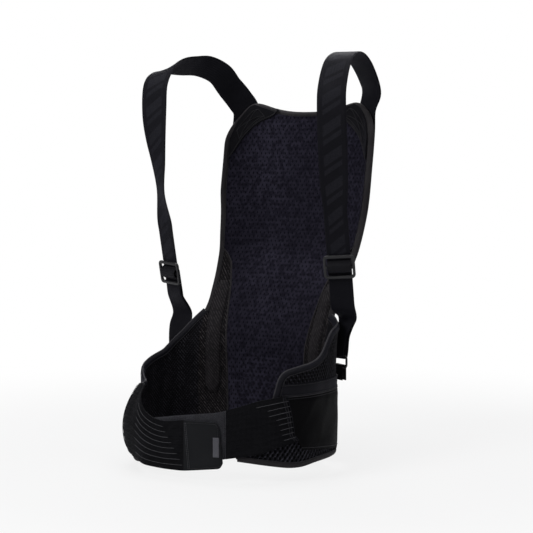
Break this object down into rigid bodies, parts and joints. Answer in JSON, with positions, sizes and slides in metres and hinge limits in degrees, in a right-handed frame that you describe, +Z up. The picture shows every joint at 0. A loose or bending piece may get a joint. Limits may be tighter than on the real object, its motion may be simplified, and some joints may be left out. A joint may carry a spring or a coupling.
{
  "type": "back protector",
  "caption": "Black soft back protector with a padded spine panel, hooked wrap-round waist belt and two adjustable webbing shoulder straps, set as worn.",
  "frame": {"origin": "on the inner liner's flat lumbar face, at the middle of the wearer's lower back", "axes": "+Z up along the wearer's spine, +Y out behind the wearer, +X towards the side of the belt that lies underneath at the front"},
  "size_m": [0.3276, 0.3397, 0.5562],
  "materials": {
    "liner_mesh": "matte",
    "core_foam": "matte",
    "cover_fabric": "matte",
    "air_mesh": "matte",
    "binding_tape": "matte",
    "ribbed_elastic": "matte",
    "loop_pile": "matte",
    "strap_webbing": "matte",
    "acetal_black": "satin",
    "grey_patch": "matte"
  },
  "bodies": {
    "harness": {"inner_liner": "liner_mesh", "impact_core": "core_foam", "outer_cover": "cover_fabric", "panel_binding": "binding_tape", "left_corner_patch": "cover_fabric", "right_corner_patch": "cover_fabric", "left_side_mesh": "air_mesh", "right_side_mesh": "air_mesh", "left_lumbar_channel": "cover_fabric", "right_lumbar_channel": "cover_fabric", "left_wing_mesh": "air_mesh", "right_wing_mesh": "air_mesh", "left_wing_shell": "air_mesh", "right_wing_shell": "air_mesh", "left_wing_binding": "binding_tape", "right_wing_binding": "binding_tape", "left_hem_binding": "binding_tape", "right_hem_binding": "binding_tape", "left_wing_band": "binding_tape", "right_wing_band": "binding_tape", "left_wing_panel": "cover_fabric", "right_wing_panel": "cover_fabric", "right_belt_elastic": "ribbed_elastic", "loop_panel": "loop_pile", "left_shoulder_strap": "strap_webbing", "right_shoulder_strap": "strap_webbing", "left_anchor_ring": "acetal_black", "right_anchor_ring": "acetal_black", "left_anchor_tab": "cover_fabric", "right_anchor_tab": "cover_fabric"},
    "belt_end": {"left_belt_elastic": "ribbed_elastic"},
    "tab": {"closure_tab": "cover_fabric", "hook_patch": "loop_pile", "pull_patch": "grey_patch"},
    "left_slider": {"left_slider_frame": "acetal_black", "left_slider_webbing": "strap_webbing"},
    "right_slider": {"right_slider_frame": "acetal_black", "right_slider_webbing": "strap_webbing"}
  },
  "joints": [
    {"name": "belt_swing", "type": "hinge", "parent": "harness", "child": "belt_end", "pos_m": [-0.1364, -0.1491, -0.09], "axis": [0, 0, -1], "range_deg": [0, 100]},
    {"name": "tab_peel", "type": "hinge", "parent": "belt_end", "child": "tab", "pos_m": [0.0009, -0.2166, -0.1], "axis": [0, 0, -1], "range_deg": [0, 110]},
    {"name": "left_slider_slide", "type": "slide", "parent": "harness", "child": "left_slider", "axis": [-0.0188, -0.2141, 0.9766], "range_m": [-0.005, 0.042]},
    {"name": "right_slider_slide", "type": "slide", "parent": "harness", "child": "right_slider", "axis": [0.0412, -0.2457, 0.9685], "range_m": [-0.018, 0.034]}
  ]
}
